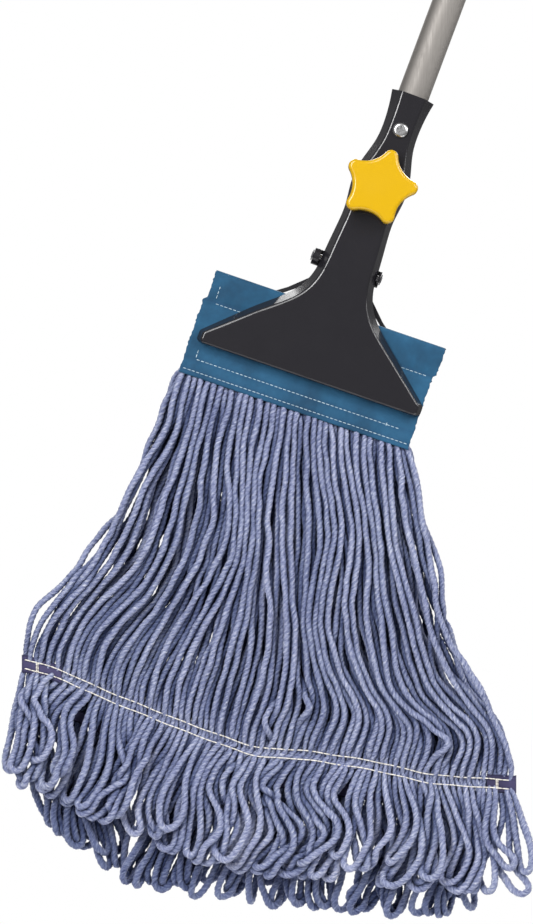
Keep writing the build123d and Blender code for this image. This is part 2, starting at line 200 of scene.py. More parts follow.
yarnMaterial = twistedCottonYarn()
bandMaterial = wovenTape("wovenTealTape", ["#143f5b", "#1b4e6e", "#265d80"])
tailMaterial = wovenTape("wovenNavyTape", ["#302d4a", "#3e3a5c", "#4c486c"])
creamThread = sewingThread("creamThread", ["#b8b3aa", "#ebe6dc"])
paleBlueThread = sewingThread("paleBlueThread", ["#7896a8", "#bccfd8"])
nodeMaterials = {
    "front_jaw": glossyAbs("glossyBlackAbs", "#201f23", 0.16),
    "rear_jaw": glossyAbs("glossyBlackAbsRear", "#1d1c20", 0.25),
    "star_knob": glossyAbs("glossyYellowAbs", "#c79d04", 0.2),
    "handle_grip": glossyAbs("mattBlackAbs", "#1c1c1e", 0.5),
    "pressure_pad": glossyAbs("whiteNylon", "#d8d6cf", 0.45),
    "handle_tube": satinMetal("satinAnodisedAluminium", "#96928e", 0.66),
    "socket_screw": satinMetal("chromePlate", "#cfcfd0", 0.27),
    "socket_washer": satinMetal("zincPlate", "#b4b2ae", 0.35),
    "socket_nut": satinMetal("zincPlateNut", "#b4b2ae", 0.35),
    "knob_stud": satinMetal("zincPlateStud", "#b4b2ae", 0.35),
    "thread_insert": satinMetal("turnedBrass", "#c8a45a", 0.3),
    "hinge_pin": satinMetal("drawnSteelPin", "#8d8d90", 0.3),
    "pin_clips": satinMetal("springSteelClips", "#77777a", 0.35),
    "torsion_spring": satinMetal("springSteelWire", "#8a8a8e", 0.3),
}
for nodeName, material in nodeMaterials.items():
    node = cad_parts[nodeName]
    node.data.materials.clear()
    node.data.materials.append(material)
print("CAD nodes have their materials")


# Yarn: every string is one length of yarn that makes two loops, and both of its ends are sewn into the headband

lean = math.radians(20.5)
headband = {
    "turn": 1.6,           # degrees, against the clamp
    "shift": -3.0,         # mm, of its middle to the left
    "half": 95.5,          # half of its width
    "top": 181.0,          # drops below the socket
    "seam": 204.0,
    "bottom": 265.0,
    "jawLip": 238.0,
    "foldShift": 2.5,      # the fold above the seam stands this much to the right
    "cloth": 0.8,
}
headband["middle"] = (headband["top"] + headband["bottom"]) / 2
bandMatrix = (Matrix.Rotation(lean, 4, "Y") @ Matrix.Translation((headband["shift"], 0, -headband["middle"]))
              @ Matrix.Rotation(-math.radians(headband["turn"]), 4, "Y"))


def onBand(x, y, drop):
    # a place on the headband, from its middle and its drop below the socket, in mm
    p = bandMatrix @ Vector((x, y, headband["middle"] - drop))
    return np.array(p)


yarn = {
    "strings": 20,            # in each half
    "legs": 6,                # each string goes down and up three times
    "layers": 4,              # in each half, where the strings leave the headband
    "thick": 5.3,             # mm
    "plies": 3,
    "plyTurn": 14.0,          # mm of yarn for one turn of its twist
    "ringSpace": 1.5,         # mm
    "ringPoints": 12,
    "tapeDepth": 5.4,         # middle of the row of strings at the tailband
    "hemOut": 8.0,            # their outer face there
    "shadeReach": 11.0,       # neighbours nearer than this darken each other with painted shade
    "shadeDepth": 1.0,
    "wander": 0.45,           # small kinks of each string, in mm
    "topInBand": 212.0,       # how high the strings reach into the headband
    "jitter": 0.8,
    "crest": 3.5,             # depth of the innermost layer half way down, and the step to the next one
    "crestStep": 5,
    "together": 3.0,          # how far neighbouring strings wave sideways together, each layer, each string
    "apart": 3.4,
    "kink": 1.1,
    "strayDepth": 20,
}
loops = {
    "wide": (5.5, 12),        # half of a loop's width
    "turn": (32, 16),         # degrees that it is turned to the viewer, and their spread
    "shortShare": 0.28,       # some loops lie short, on top of the others
    "shortRise": (9, 24),
    "shortDepth": (16, 22),
    "depth": (5, 16),
    "slant": (10, 2.5),       # mm, shared by neighbours and of each loop alone
    "sway": (6, 3.5),
    "fuller": 0.11,           # the yarn opens a little below the tailband
}
settling = {
    "steps": 150,
    "pointSpace": 4.0,        # mm
    "reach": 3,               # pairs this much further apart than they should be are watched too
    "holdHung": 0.02,         # pull back to where each point would hang
    "holdFringe": 0.008,
    "depthHold": 2.5,
    "smoothing": 0.18,
    "fall": 0.02,
    "sewnReach": 5,           # mm from the tailband's middle
    "deepest": 1.0,
    "outAtBand": 6.6,
}
# how far a string has gone sideways on its way from the headband to the tailband
drift = np.array([(0, 0), (0.25, 0.2), (0.5, 0.4), (0.66, 0.56), (0.8, 0.86), (0.92, 1.0), (1, 1.0)])
# strings further in hang straighter and turn aside late, just above the tailband
lateDrift = np.array([(0, 0), (0.25, 0.08), (0.5, 0.2), (0.66, 0.3), (0.78, 0.52), (0.9, 1.0), (1, 1.0)])
lateShare = np.array([(0, 0), (0.08, 0.2), (0.35, 0.3), (0.5, 0.8), (0.85, 0.9), (0.97, 0.2), (1, 0)])
# and some of them go too far and come back to it, by this many mm
overshoot = np.array([(0, 0), (0.4, 2), (0.55, 9), (0.7, 14), (0.9, 15), (0.97, 8), (1, 2)])
halves = {
    "front": {
        "side": -1,
        # single strings that stray from the rest: leg, mm sideways, place on the way down, reach of the bow
        "strays": [(0, -8, 0.8, 0.16), (1, -5, 0.8, 0.16), (3, -3, 0.8, 0.14), (118, 9, 0.42, 0.13),
                   (62, -18, 0.9, 0.045), (66, 8, 0.86, 0.05), (98, 14, 0.9, 0.04)],
        "tail": [(-305, -447), (-280, -454), (-246, -470), (-176, -498), (-123, -517), (-89, -518), (-31, -527),
                 (14, -538), (78, -542)],
        "ends": [(-318, -532), (-246, -571), (-155, -609), (-86, -615), (-28, -624), (29, -628), (90, -630)],
    },
    "back": {
        "side": 1,
        "strays": [(1, -7, 0.5, 0.2), (117, 9, 0.5, 0.15), (50, 14, 0.9, 0.05)],
        "tail": [(-282, -480), (-210, -516), (-120, -538), (-40, -550), (46, -562)],
        "ends": [(-288, -572), (-226, -622), (-114, -640), (-57, -643), (9, -650), (50, -645)],
    },
}


def evened(values, window):
    # running average with its ends kept
    return np.convolve(np.pad(values, window // 2, mode="edge"), np.ones(window) / window, mode="valid")


def alongRow(points, shares):
    # a smooth curve through a row's points, at shares of its length
    points = np.array(points, float)
    lengths = np.concatenate([[0], np.cumsum(np.linalg.norm(np.diff(points, axis=0), axis=1))])
    lengths /= lengths[-1]
    fine = np.linspace(0, 1, 400)
    rough = np.stack([np.interp(fine, lengths, points[:, k]) for k in (0, 1)], axis=1)
    window = np.hanning(41)
    window /= window.sum()
    padded = np.pad(rough, ((20, 20), (0, 0)), mode="reflect", reflect_type="odd")
    smooth = np.stack([np.convolve(padded[:, k], window, mode="valid") for k in (0, 1)], axis=1)
    return np.stack([np.interp(shares, fine, smooth[:, k]) for k in (0, 1)], axis=-1)


def waves(seed, xLength, zLength, count=6):
    # a smooth random field over the sheet, about -1 to 1
    dice = np.random.default_rng(seed)
    xTurns = dice.normal(0, 1, count) / xLength
    zTurns = dice.normal(0, 1, count) / zLength
    starts = dice.uniform(0, 2 * math.pi, count)

    def field(x, z):
        total = sum(np.sin(2 * math.pi * (x * a + z * b) + c) for a, b, c in zip(xTurns, zTurns, starts))
        return total / math.sqrt(count / 2)
    return field


def firstRoutes(half, seed):
    # where each leg and loop would hang if nothing were in its way: depth counts from the mop's middle plane
    dice = np.random.default_rng(seed)
    legCount = yarn["strings"] * yarn["legs"]
    shares = (np.arange(legCount) + 0.5) / legCount
    tail = alongRow(half["tail"], shares)
    loopShares = (shares[0::2] + shares[1::2]) / 2
    ends = alongRow(half["ends"], loopShares - 0.075 * np.sin(math.pi * loopShares) * (1 - 0.5 * loopShares))
    layer = np.concatenate([dice.permutation(yarn["layers"]) for k in range(legCount // yarn["layers"])])
    drifts = [waves(seed + 20 + k, 80, 140) for k in range(yarn["layers"])]
    together = waves(seed + 19, 110, 200)
    kinks = [waves(seed + 4 + k, 9, 55) for k in range(2)]
    bulge = waves(seed + 6, 70, 160)
    bows = [waves(seed + 7, 70, 400), waves(seed + 8, 60, 400)]
    t = np.linspace(0, 1, 70)
    edgeEase, lateEase = [evened(np.interp(t, table[:, 0], table[:, 1]), 9) for table in (drift, lateDrift)]
    window = np.sin(math.pi * t) ** 0.7
    strays = {leg: stray for leg, *stray in half["strays"]}
    legs = []
    for i in range(legCount):
        rank = layer[i] * 2 / (yarn["layers"] - 1)
        across = -headband["half"] + 2.5 + shares[i] * (2 * headband["half"] - 5)
        across += dice.normal(0, yarn["jitter"])
        inside = []
        for drop in np.linspace(yarn["topInBand"], headband["bottom"], 14):
            swell = np.clip((drop - headband["jawLip"] - 6) / 24, 0, 1)
            depth = 0.8 + 1.1 * rank + (0.6 + 1.3 * rank) * swell
            inside.append(onBand(across, 0, drop) + np.array([0, depth, 0]))
        inside = np.array(inside)
        start = inside[-1]
        late = float(np.interp(shares[i], lateShare[:, 0], lateShare[:, 1]))
        ease = edgeEase * (1 - late) + lateEase * late
        x = start[0] + (tail[i, 0] - start[0]) * ease
        z = start[2] + (tail[i, 1] - start[2]) * t
        x = x + window * (yarn["together"] * together(x, z) + yarn["apart"] * drifts[layer[i]](x, z)
                          + yarn["kink"] * kinks[0](x + 40 * layer[i], z))
        # the outermost strings bulge past the headband's corners
        corner = math.exp((shares[i] - 1) / 0.04) - math.exp(-shares[i] / 0.04)
        x = x + 6 * corner * np.exp(-((t - 0.08) / 0.07)**2)
        past = float(np.interp(shares[i], overshoot[:, 0], overshoot[:, 1]))
        x = x + past * np.exp(-((t - 0.86) / 0.075) ** 2)
        crest = yarn["crest"] + yarn["crestStep"] * layer[i]
        gathered = yarn["tapeDepth"] + (0.6 if i % 2 else -0.6)
        depth = start[1] + (gathered - start[1]) * t
        depth = depth + window * (crest - (start[1] + gathered) / 2 + 1.6 * bulge(x, z) + 0.8 * kinks[1](x, z))
        if i in strays:
            sideways, spot, reach = strays[i]
            bow = np.exp(-((t - spot) / reach) ** 2)
            x = x + sideways * bow
            depth = depth + (yarn["strayDepth"] - depth) * bow * 0.8 * np.clip((1 - t) / 0.1, 0, 1)
        legs.append(np.vstack([inside[:-1], np.stack([x, depth, z], axis=1)]))
    routes = [loopRoute(dice, legs[2 * j], legs[2 * j + 1], ends[j], bows) for j in range(legCount // 2)]
    perString = yarn["legs"] // 2
    return [np.vstack(routes[k * perString:(k + 1) * perString]) for k in range(yarn["strings"])]


def loopRoute(dice, down, up, end, bows):
    # from the tailband round a loop's end and back; each loop overlaps the next as shingles do
    a, b = down[-1], up[-1]
    top = (a + b) / 2
    wide = dice.uniform(*loops["wide"])
    turnEnd = math.radians(dice.normal(*loops["turn"]))
    slant = loops["slant"][0] * bows[0](end[0], 0) + dice.normal(0, loops["slant"][1])
    sway = loops["sway"][0] * bows[1](end[0], 0) + dice.normal(0, loops["sway"][1])
    short = dice.random() < loops["shortShare"]
    rise = dice.uniform(*loops["shortRise"]) if short else abs(dice.normal(0, 3.5))
    out = dice.uniform(*(loops["shortDepth"] if short else loops["depth"]))
    low = np.array([end[0] + dice.normal(0, 4), out, end[1] + rise + wide])
    t = np.linspace(0, 1, 30)[1:]
    centre = top + (low - top) * t[:, None]
    centre[:, 0] += slant * np.sin(math.pi * t) + sway * np.sin(2 * math.pi * t)
    centre[:, 1] = top[1] + (low[1] - top[1]) * t**0.8
    start = np.linalg.norm(b - a) / 2
    spread = start + (wide - start) * np.clip((t - 0.15) / 0.7, 0, 1) ** 1.3
    turn = turnEnd * t**0.8
    sideways = np.stack([np.cos(turn), np.sin(turn), np.zeros_like(turn)], axis=1)
    left = centre - sideways * spread[:, None]
    right = centre + sideways * spread[:, None]
    angles = np.linspace(0, math.pi, 11)[1:-1]
    way = np.array([math.cos(turnEnd), math.sin(turnEnd), 0])
    tilt = dice.normal(0.25, 0.35)
    bottom = [low - way * wide * math.cos(q) - np.array([0, 0, wide * (math.sin(q) + tilt * math.cos(q))])
              for q in angles]
    left[-6:, 2] -= np.linspace(0, tilt * wide, 6)
    right[-6:, 2] += np.linspace(0, tilt * wide, 6)
    return np.vstack([down, left, bottom, right[::-1], up[::-1]])


def evenly(points, space):
    lengths = np.concatenate([[0], np.cumsum(np.linalg.norm(np.diff(points, axis=0), axis=1))])
    count = max(3, int(round(lengths[-1] / space)) + 1)
    places = np.linspace(0, lengths[-1], count)
    return np.stack([np.interp(places, lengths, points[:, k]) for k in range(3)], axis=1)


def closePairs(points, reach):
    # every pair of points nearer than reach, found with a grid of cells
    cells = np.floor(points / reach).astype(np.int64)
    cells -= cells.min(axis=0) - 1
    size = cells.max(axis=0) + 2
    keys = (cells[:, 0] * size[1] + cells[:, 1]) * size[2] + cells[:, 2]
    order = np.argsort(keys, kind="stable")
    ranked = keys[order]
    firsts, seconds = [], []
    for dx in (-1, 0, 1):
        for dy in (-1, 0, 1):
            for dz in (-1, 0, 1):
                wanted = keys + (dx * size[1] + dy) * size[2] + dz
                low = np.searchsorted(ranked, wanted, "left")
                high = np.searchsorted(ranked, wanted, "right")
                counts = high - low
                a = np.repeat(np.arange(len(points)), counts)
                steps = np.arange(counts.sum()) - np.repeat(np.cumsum(counts) - counts, counts)
                b = order[np.repeat(low, counts) + steps]
                keep = b > a
                firsts.append(a[keep])
                seconds.append(b[keep])
    a, b = np.concatenate(firsts), np.concatenate(seconds)
    near = np.linalg.norm(points[a] - points[b], axis=1) < reach
    return a[near], b[near]


def settle(strings, tailLine):
    # the strings push each other apart, keep their length, stay smooth and stay sewn where they are sewn
    parts = [evenly(s, settling["pointSpace"]) for s in strings]
    counts = [len(p) for p in parts]
    p = np.vstack(parts)
    owner = np.repeat(np.arange(len(parts)), counts)
    place = np.concatenate([np.arange(c) for c in counts])
    home = p.copy()
    tailZ = np.interp(p[:, 0], tailLine[:, 0], tailLine[:, 1])
    bandEdge = np.array([onBand(-headband["half"], 0, headband["bottom"]),
                         onBand(headband["half"], 0, headband["bottom"])])
    bandZ = np.interp(p[:, 0], bandEdge[:, 0], bandEdge[:, 2])
    # no further out than the headband's edge
    mostOut = np.clip(settling["outAtBand"] + 0.8 * (bandZ - p[:, 2]), settling["outAtBand"], 25)
    sewn = (p[:, 2] > bandZ - 1) | (np.abs(p[:, 2] - tailZ) < settling["sewnReach"])
    loose = ~sewn
    fringe = p[:, 2] < tailZ - settling["sewnReach"]
    hold = np.where(fringe, settling["holdFringe"], settling["holdHung"])[:, None]
    hold = hold * np.array([1, settling["depthHold"], 1])
    same = owner[1:] == owner[:-1]
    inner = np.zeros(len(p), bool)
    inner[1:-1] = same[1:] & same[:-1]
    middle = np.nonzero(inner)[0]
    rest = np.linalg.norm(p[1:] - p[:-1], axis=1)
    links = [np.nonzero(same & (np.arange(len(same)) % 2 == k))[0] for k in (0, 1)]
    thick = yarn["thick"] * 0.97
    for step in range(settling["steps"]):
        if step % 6 == 0:
            a, b = closePairs(p, thick + settling["reach"])
            apart = (owner[a] != owner[b]) | (np.abs(place[a] - place[b]) > 3)
            a, b = a[apart], b[apart]
        gap = p[b] - p[a]
        far = np.linalg.norm(gap, axis=1) + 1e-9
        push = np.clip(thick - far, 0, None)
        move = gap / far[:, None] * (push * 0.5)[:, None]
        total = np.zeros_like(p)
        for k in range(3):
            total[:, k] += np.bincount(b, move[:, k], len(p)) - np.bincount(a, move[:, k], len(p))
        touches = np.bincount(a[push > 0], minlength=len(p)) + np.bincount(b[push > 0], minlength=len(p))
        total /= np.clip(touches, 1, None)[:, None] ** 0.6
        p[loose] += total[loose]
        p[fringe & loose, 2] -= settling["fall"]
        p += (home - p) * hold
        smooth = (p[middle - 1] + p[middle + 1]) / 2 - p[middle]
        p[middle] += settling["smoothing"] * smooth * loose[middle][:, None]
        for pick in links:
            line = p[pick + 1] - p[pick]
            long = np.linalg.norm(line, axis=1) + 1e-9
            fix = line * ((long - rest[pick]) / long * 0.5)[:, None]
            p[pick] += fix * loose[pick][:, None]
            p[pick + 1] -= fix * loose[pick + 1][:, None]
        p[:, 1] = np.clip(p[:, 1], settling["deepest"], mostOut)
        p[sewn] = home[sewn]
    cuts = np.cumsum(counts)[:-1]
    return np.split(p, cuts), np.split(crowding(p, owner, place), cuts)


def crowding(p, owner, place):
    # how close the neighbours stand round each point and on which sides, as sums over their directions, for the
    # painted shade
    a, b = closePairs(p, yarn["shadeReach"])
    apart = (owner[a] != owner[b]) | (np.abs(place[a] - place[b]) > 4)
    a, b = a[apart], b[apart]
    gap = p[b] - p[a]
    far = np.linalg.norm(gap, axis=1) + 1e-9
    x, y, z = (gap / far[:, None]).T
    near = 1 - far / yarn["shadeReach"]
    sums = [np.bincount(a, near * q, len(p)) - np.bincount(b, near * q, len(p)) for q in (x, y, z)]
    sums += [np.bincount(a, near * q, len(p)) + np.bincount(b, near * q, len(p))
             for q in (x * x, y * y, z * z, 2 * x * y, 2 * x * z, 2 * y * z)]
    return np.stack(sums, axis=1)


def wanderAlong(dice, lengths, every, columns):
    # smooth random values along a string
    knots = np.arange(0, lengths[-1] + 2 * every, every)
    values = [np.interp(lengths, knots, dice.normal(0, 1, len(knots))) for k in range(columns)]
    return np.stack([evened(v, 5) for v in values], axis=1)


def smoothLine(points, space):
    # a finer line through the settled points, and its places counted in those points
    n = len(points)
    fine = np.linspace(0, n - 1, int((n - 1) * settling["pointSpace"] / space) + 1)
    ahead = np.gradient(points, axis=0)
    i = np.clip(fine.astype(int), 0, n - 2)
    u = (fine - i)[:, None]
    p0, p1, m0, m1 = points[i], points[i + 1], ahead[i], ahead[i + 1]
    line = ((2 * u**3 - 3 * u**2 + 1) * p0 + (u**3 - 2 * u**2 + u) * m0
            + (-2 * u**3 + 3 * u**2) * p1 + (u**3 - u**2) * m1)
    return line, fine


def yarnTube(name, line, side, squeeze, shade, crowd, dice):
    # plies lie as lobes round the string and turn along it
    n = len(line)
    k = yarn["ringPoints"]
    forward = np.gradient(line, axis=0)
    forward /= np.linalg.norm(forward, axis=1)[:, None]
    sideways = np.zeros_like(line)
    v = np.cross(forward[0], (0.3, 1.0, 0.1))
    for i in range(n):
        v = v - forward[i] * v.dot(forward[i])
        v = v / math.sqrt(v.dot(v))
        sideways[i] = v
    over = np.cross(forward, sideways)
    lengths = np.concatenate([[0], np.cumsum(np.linalg.norm(np.diff(line, axis=0), axis=1))])
    turn = 2 * math.pi * lengths / yarn["plyTurn"] + dice.uniform(0, 6)
    turn = turn + 0.7 * wanderAlong(dice, lengths, 30, 1)[:, 0]
    angle = turn[:, None] + np.arange(k)[None, :] * (2 * math.pi / k)
    lobe = np.tile([0.85, 0.97, 1.02, 0.97], yarn["plies"])
    radius = yarn["thick"] / 2 * lobe[None, :] * np.ones((n, 1))
    radius *= 1 + 0.06 * wanderAlong(dice, lengths, 8, 1)
    facing = (sideways[:, None, :] * np.cos(angle)[..., None] + over[:, None, :] * np.sin(angle)[..., None])
    offset = facing * radius[..., None] * squeeze[:, None, :]
    points = (line[:, None, :] + offset).reshape(-1, 3)
    ring = np.arange(k)
    rows = np.arange(n - 1)[:, None] * k
    faces = np.stack([rows + ring, rows + (ring + 1) % k, rows + k + (ring + 1) % k, rows + k + ring], axis=-1)
    faces = faces.reshape(-1, 4)
    u0 = np.tile(ring / k, n - 1)
    u1 = u0 + 1 / k
    v0 = np.repeat(lengths[:-1], k) * mm
    v1 = np.repeat(lengths[1:], k) * mm
    uv = np.stack([np.stack([u0, v0], -1), np.stack([u1, v0], -1), np.stack([u1, v1], -1),
                   np.stack([u0, v1], -1)], axis=1).reshape(-1, 2)
    caps = [list(range(k))[::-1], [(n - 1) * k + q for q in range(k)]]
    faceList = faces.tolist() + caps
    uv = np.vstack([uv, np.zeros((2 * k, 2))])
    # painted shade: each point darkens by how closely the neighbours crowd on the side it faces, an ambient
    # occlusion baked into the mesh colour
    x, y, z = facing[..., 0], facing[..., 1], facing[..., 2]
    crowd = crowd[:, None, :]
    hidden = 0.45 * (x * crowd[..., 0] + y * crowd[..., 1] + z * crowd[..., 2])
    hidden += 0.5 * (x * x * crowd[..., 3] + y * y * crowd[..., 4] + z * z * crowd[..., 5])
    hidden += 0.5 * (x * y * crowd[..., 6] + x * z * crowd[..., 7] + y * z * crowd[..., 8])
    # painted shade in the grooves between the plies
    valley = np.tile([0.74, 0.95, 1.0, 0.95], yarn["plies"])
    tones = shade * valley[None, :] * np.exp(-yarn["shadeDepth"] * np.clip(hidden, 0, 1.9))
    tones *= 1 - 0.5 * np.clip(-side * y, 0, 1)      # the other half of the mop keeps light off the inner face
    return makeMesh(name, points * mm, faceList, yarnMaterial, uv, tones.ravel())


def makeHalf(name, seed):
    half = halves[name]
    dice = np.random.default_rng(seed + 50)
    tailLine = alongRow(half["tail"], np.linspace(0, 1, 60))
    strings, crowds = settle(firstRoutes(half, seed), tailLine)
    bandEnds = np.array([onBand(-96, 0, headband["bottom"]), onBand(96, 0, headband["bottom"])])
    for k, points in enumerate(strings):
        line, fine = smoothLine(points, yarn["ringSpace"])
        crowd = np.stack([np.interp(fine, np.arange(len(points)), c) for c in crowds[k].T], axis=1)
        wander = yarn["wander"] * wanderAlong(dice, fine * settling["pointSpace"], 13, 3)
        tailZ = np.interp(line[:, 0], tailLine[:, 0], tailLine[:, 1])
        nearTape = np.exp(-((line[:, 2] - tailZ) / 9.0) ** 2)
        bandZ = np.interp(line[:, 0], bandEnds[:, 0], bandEnds[:, 2])
        inBand = np.clip((line[:, 2] - bandZ + 14) / 22, 0, 1)
        line = line + wander * (1 - 0.8 * inBand[:, None])      # pressed flat inside the headband
        squeeze = np.ones_like(line)
        untwisted = np.clip((tailZ - line[:, 2] - 8) / 25, 0, 1)
        squeeze += loops["fuller"] * untwisted[:, None]
        squeeze[:, 0] -= 0.3 * nearTape
        squeeze[:, 1] -= 0.28 * nearTape + 0.58 * inBand
        line = line * (1, half["side"], 1)
        crowd = crowd * (1, half["side"], 1, 1, 1, 1, half["side"], 1, half["side"])
        # the painted shade fades by three quarters near the tailband's hem
        hem = np.exp(-((line[:, 2] - tailZ) / 15.0) ** 2)
        crowd *= 1 - 0.75 * hem[:, None]
        shade = dice.uniform(0.88, 1.1)
        piece = yarnTube(f"{name}String{k + 1:02d}", line, half["side"], squeeze, shade, crowd, dice)
        bundle = k * 5 // yarn["strings"] + 1
        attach(piece, "mop_head")
        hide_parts(f"{name}_yarn_{bundle}")
    print(name, "half:", len(strings), "strings")
    return tailLine


frontTail = makeHalf("front", 21)
backTail = makeHalf("back", 77)


# Headband: one cloth folded over the yarn, with a step at the seam and slightly frayed ends

def makeHeadband():
    drops = np.concatenate([np.linspace(headband["top"], headband["seam"], 12),
                            np.linspace(headband["seam"] + 1.5, headband["bottom"], 30)])

    def outward(drop, x=0):
        # how far the cloth stands from the middle plane: in at the seams, with small puckers beside them
        knots = [(181, 2.2), (186, 2.4), (200, 2.4), (204, 1.9), (209, 4.2), (214, 4.75), (240, 4.9), (248, 6.0),
                 (251.5, 6.2), (255, 7.3), (259, 8.1), (261, 8.1), (265, 9.4)]
        smooth = float(np.interp(drop, [q[0] for q in knots], [q[1] for q in knots]))
        pucker = math.exp(-((drop - 256) / 5) ** 2) * math.sin(x / 1.9 + 2.2 * math.sin(x / 17))
        pucker += math.exp(-((drop - 200) / 6) ** 2) * math.sin(x / 2.6 + 2 * math.sin(x / 13))
        return smooth + 0.22 * pucker
    profile = [(1, d) for d in drops[::-1]]
    profile += [(1.4, headband["top"] - 0.9), (0, headband["top"] - 1.3), (-1.4, headband["top"] - 0.9)]
    profile += [(-1, d) for d in drops]
    across = np.linspace(-1, 1, 241)
    points, tones = [], []
    for out, drop in profile:
        shift = headband["foldShift"] if drop < headband["seam"] else 0
        seams = sum(math.exp(-((drop - q) / 1.4) ** 2) for q in (204, 251.5, 261))
        for share in across:
            edge = abs(share) > 0.999
            ragged = float(chance.normal(0, 0.4)) if edge else 0
            x = share * headband["half"] + shift + ragged
            stand = out * outward(drop, x) if drop >= headband["top"] else out
            points.append(onBand(x, -stand, drop) * mm)
            # painted shade along the three seams, a painted highlight along one crease on front and back alike, and
            # darker towards the bottom edge
            creaseHighlight = math.exp(-((x - 18 - 0.12 * (drop - 243)) / 3) ** 2) * math.exp(-((drop - 243) / 7) ** 2)
            tones.append(1 - 0.2 * min(1, seams) + 0.16 * creaseHighlight - 0.12 * max(0, (drop - 252) / 13))
    columns = len(across)
    faces = []
    for i in range(len(profile) - 1):
        for j in range(columns - 1):
            a = i * columns + j
            faces.append((a, a + 1, a + columns + 1, a + columns))
    band = makeMesh("headbandCloth", points, faces, bandMaterial, shade=tones)
    solid = band.modifiers.new("thickness", "SOLIDIFY")
    solid.thickness = headband["cloth"] * mm
    solid.offset = 0
    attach(band, "mop_head")
    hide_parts("headband_front", "headband_back", "headband_fold", "yarn_core")
    return outward


bandOut = makeHeadband()
print("headband sewn")


# Sewing thread: each stitch is a short raised piece of thread whose ends sink into the cloth

# thread's thickness, length of a stitch and gap after it, in mm
stitches = {"headband": (0.6, 2.6, 1.0), "tailband": (0.95, 5.2, 0.1), "tack": (0.8, 2.6, 0.2)}

def stitchRow(route, outward, thread, stitch, gap):
    # route and outward are arrays in mm: points along the seam, and the way the cloth faces there
    route = np.array(route, float)
    lengths = np.concatenate([[0], np.cumsum(np.linalg.norm(np.diff(route, axis=0), axis=1))])
    points, faces = [], []
    rings, sides = 7, 8
    at = gap
    while at + stitch < lengths[-1]:
        places = np.linspace(at, at + stitch, rings)
        line = np.stack([np.interp(places, lengths, route[:, k]) for k in range(3)], axis=1)
        facing = np.stack([np.interp(places, lengths, outward[:, k]) for k in range(3)], axis=1)
        rise = np.sin(np.linspace(0, math.pi, rings)) ** 0.3 * thread * 0.5 - thread * 0.2
        line = line + facing * rise[:, None]
        along = np.gradient(line, axis=0)
        along /= np.linalg.norm(along, axis=1)[:, None]
        side = np.cross(along, facing)
        side /= np.linalg.norm(side, axis=1)[:, None]
        up = np.cross(side, along)
        base = len(points)
        for i in range(rings):
            radius = thread / 2 * (0.55 if i in (0, rings - 1) else 1)
            for q in range(sides):
                a = q * 2 * math.pi / sides
                points.append((line[i] + radius * (side[i] * math.cos(a) + up[i] * math.sin(a))) * mm)
        for i in range(rings - 1):
            row = base + i * sides
            for q in range(sides):
                n = (q + 1) % sides
                faces.append((row + q, row + n, row + sides + n, row + sides + q))
        faces.append(tuple(base + q for q in range(sides))[::-1])
        faces.append(tuple(base + (rings - 1) * sides + q for q in range(sides)))
        at += stitch + gap
    return points, faces


def joinRows(name, rows, material):
    points, faces = [], []
    for rowPoints, rowFaces in rows:
        base = len(points)
        points += rowPoints
        faces += [tuple(base + v for v in face) for face in rowFaces]
    thing = makeMesh(name, points, faces, material)
    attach(thing, "mop_head")
    return thing


def bandLine(start, end, side):
    # a seam on the headband between two (across, drop) places
    steps = np.linspace(0, 1, 160)
    spots = [(start[0] + (end[0] - start[0]) * s, start[1] + (end[1] - start[1]) * s) for s in steps]
    route = np.array([onBand(x, side * (bandOut(drop, x) + 0.5), drop) for x, drop in spots])
    return route, np.tile(np.array([0.0, side, 0.0]), (160, 1))


bandSeams = [((-94, 261), (94, 261)), ((-86, 251.5), (84, 251.5)), ((-86, 243), (-86, 251)),
             ((-86, 205), (92, 205)), ((-86, 190), (-86, 204)), ((73, 249), (73, 254))]
for side, label in ((-1, "Front"), (1, "Back")):
    rows = []
    for start, end in bandSeams:
        route, facing = bandLine(start, end, side)
        rows.append(stitchRow(route, facing, *stitches["headband"]))
    joinRows("headbandStitches" + label, rows, paleBlueThread)


tailTape = {
    "inside": 2.1,         # mm from the mop's middle plane, behind the strings
    "outside": yarn["hemOut"] + 0.55,
    "half": 7.0,           # half of its width where it is turned over the strings
    "behind": 0.72,        # share of that width behind them
    "seams": 3.5,          # mm from its middle
    "border": 5.8,         # its selvedges beyond this are darker
    "rows": 15,
    "cloth": 0.5,
    "width": 0.013,        # metres, laid flat
}


def hemFace(x, tailLine, wraps):
    # how far the outer face of the hem stands out: further where the tape's ends are turned over the strings
    onTape = (x < tailLine[0, 0] + wraps[0] + 1) | (x > tailLine[-1, 0] - wraps[1] - 1)
    return yarn["hemOut"] + np.where(onTape, 0.95, 0.0)


def tailStitches(label, tailLine, side, wraps):
    rows = []
    for rise in (-tailTape["seams"], tailTape["seams"]):
        x = np.linspace(tailLine[0, 0] - 1, tailLine[-1, 0] + 1, 600)
        z = np.interp(x, tailLine[:, 0], tailLine[:, 1]) + rise + 0.25 * np.sin(x / 5.5 + rise)
        route = np.stack([x, side * (hemFace(x, tailLine, wraps) + 0.45), z], axis=1)
        rows.append(stitchRow(route, np.tile(np.array([0.0, side, 0.0]), (600, 1)), *stitches["tailband"]))
    for x in (tailLine[0, 0] + 9, tailLine[-1, 0] - 12):     # a bar tack across the tape at each end
        z = np.interp(x, tailLine[:, 0], tailLine[:, 1])
        for shift in (-0.6, 0.6):
            steps = np.linspace(-4.6, 4.6, 30)
            route = np.stack([np.full(30, x + shift), np.full(30, side * (yarn["hemOut"] + 1.3)), z + steps],
                             axis=1)
            rows.append(stitchRow(route, np.tile(np.array([0.0, side, 0.0]), (30, 1)), *stitches["tack"]))
    joinRows("tailbandStitches" + label, rows, creamThread)


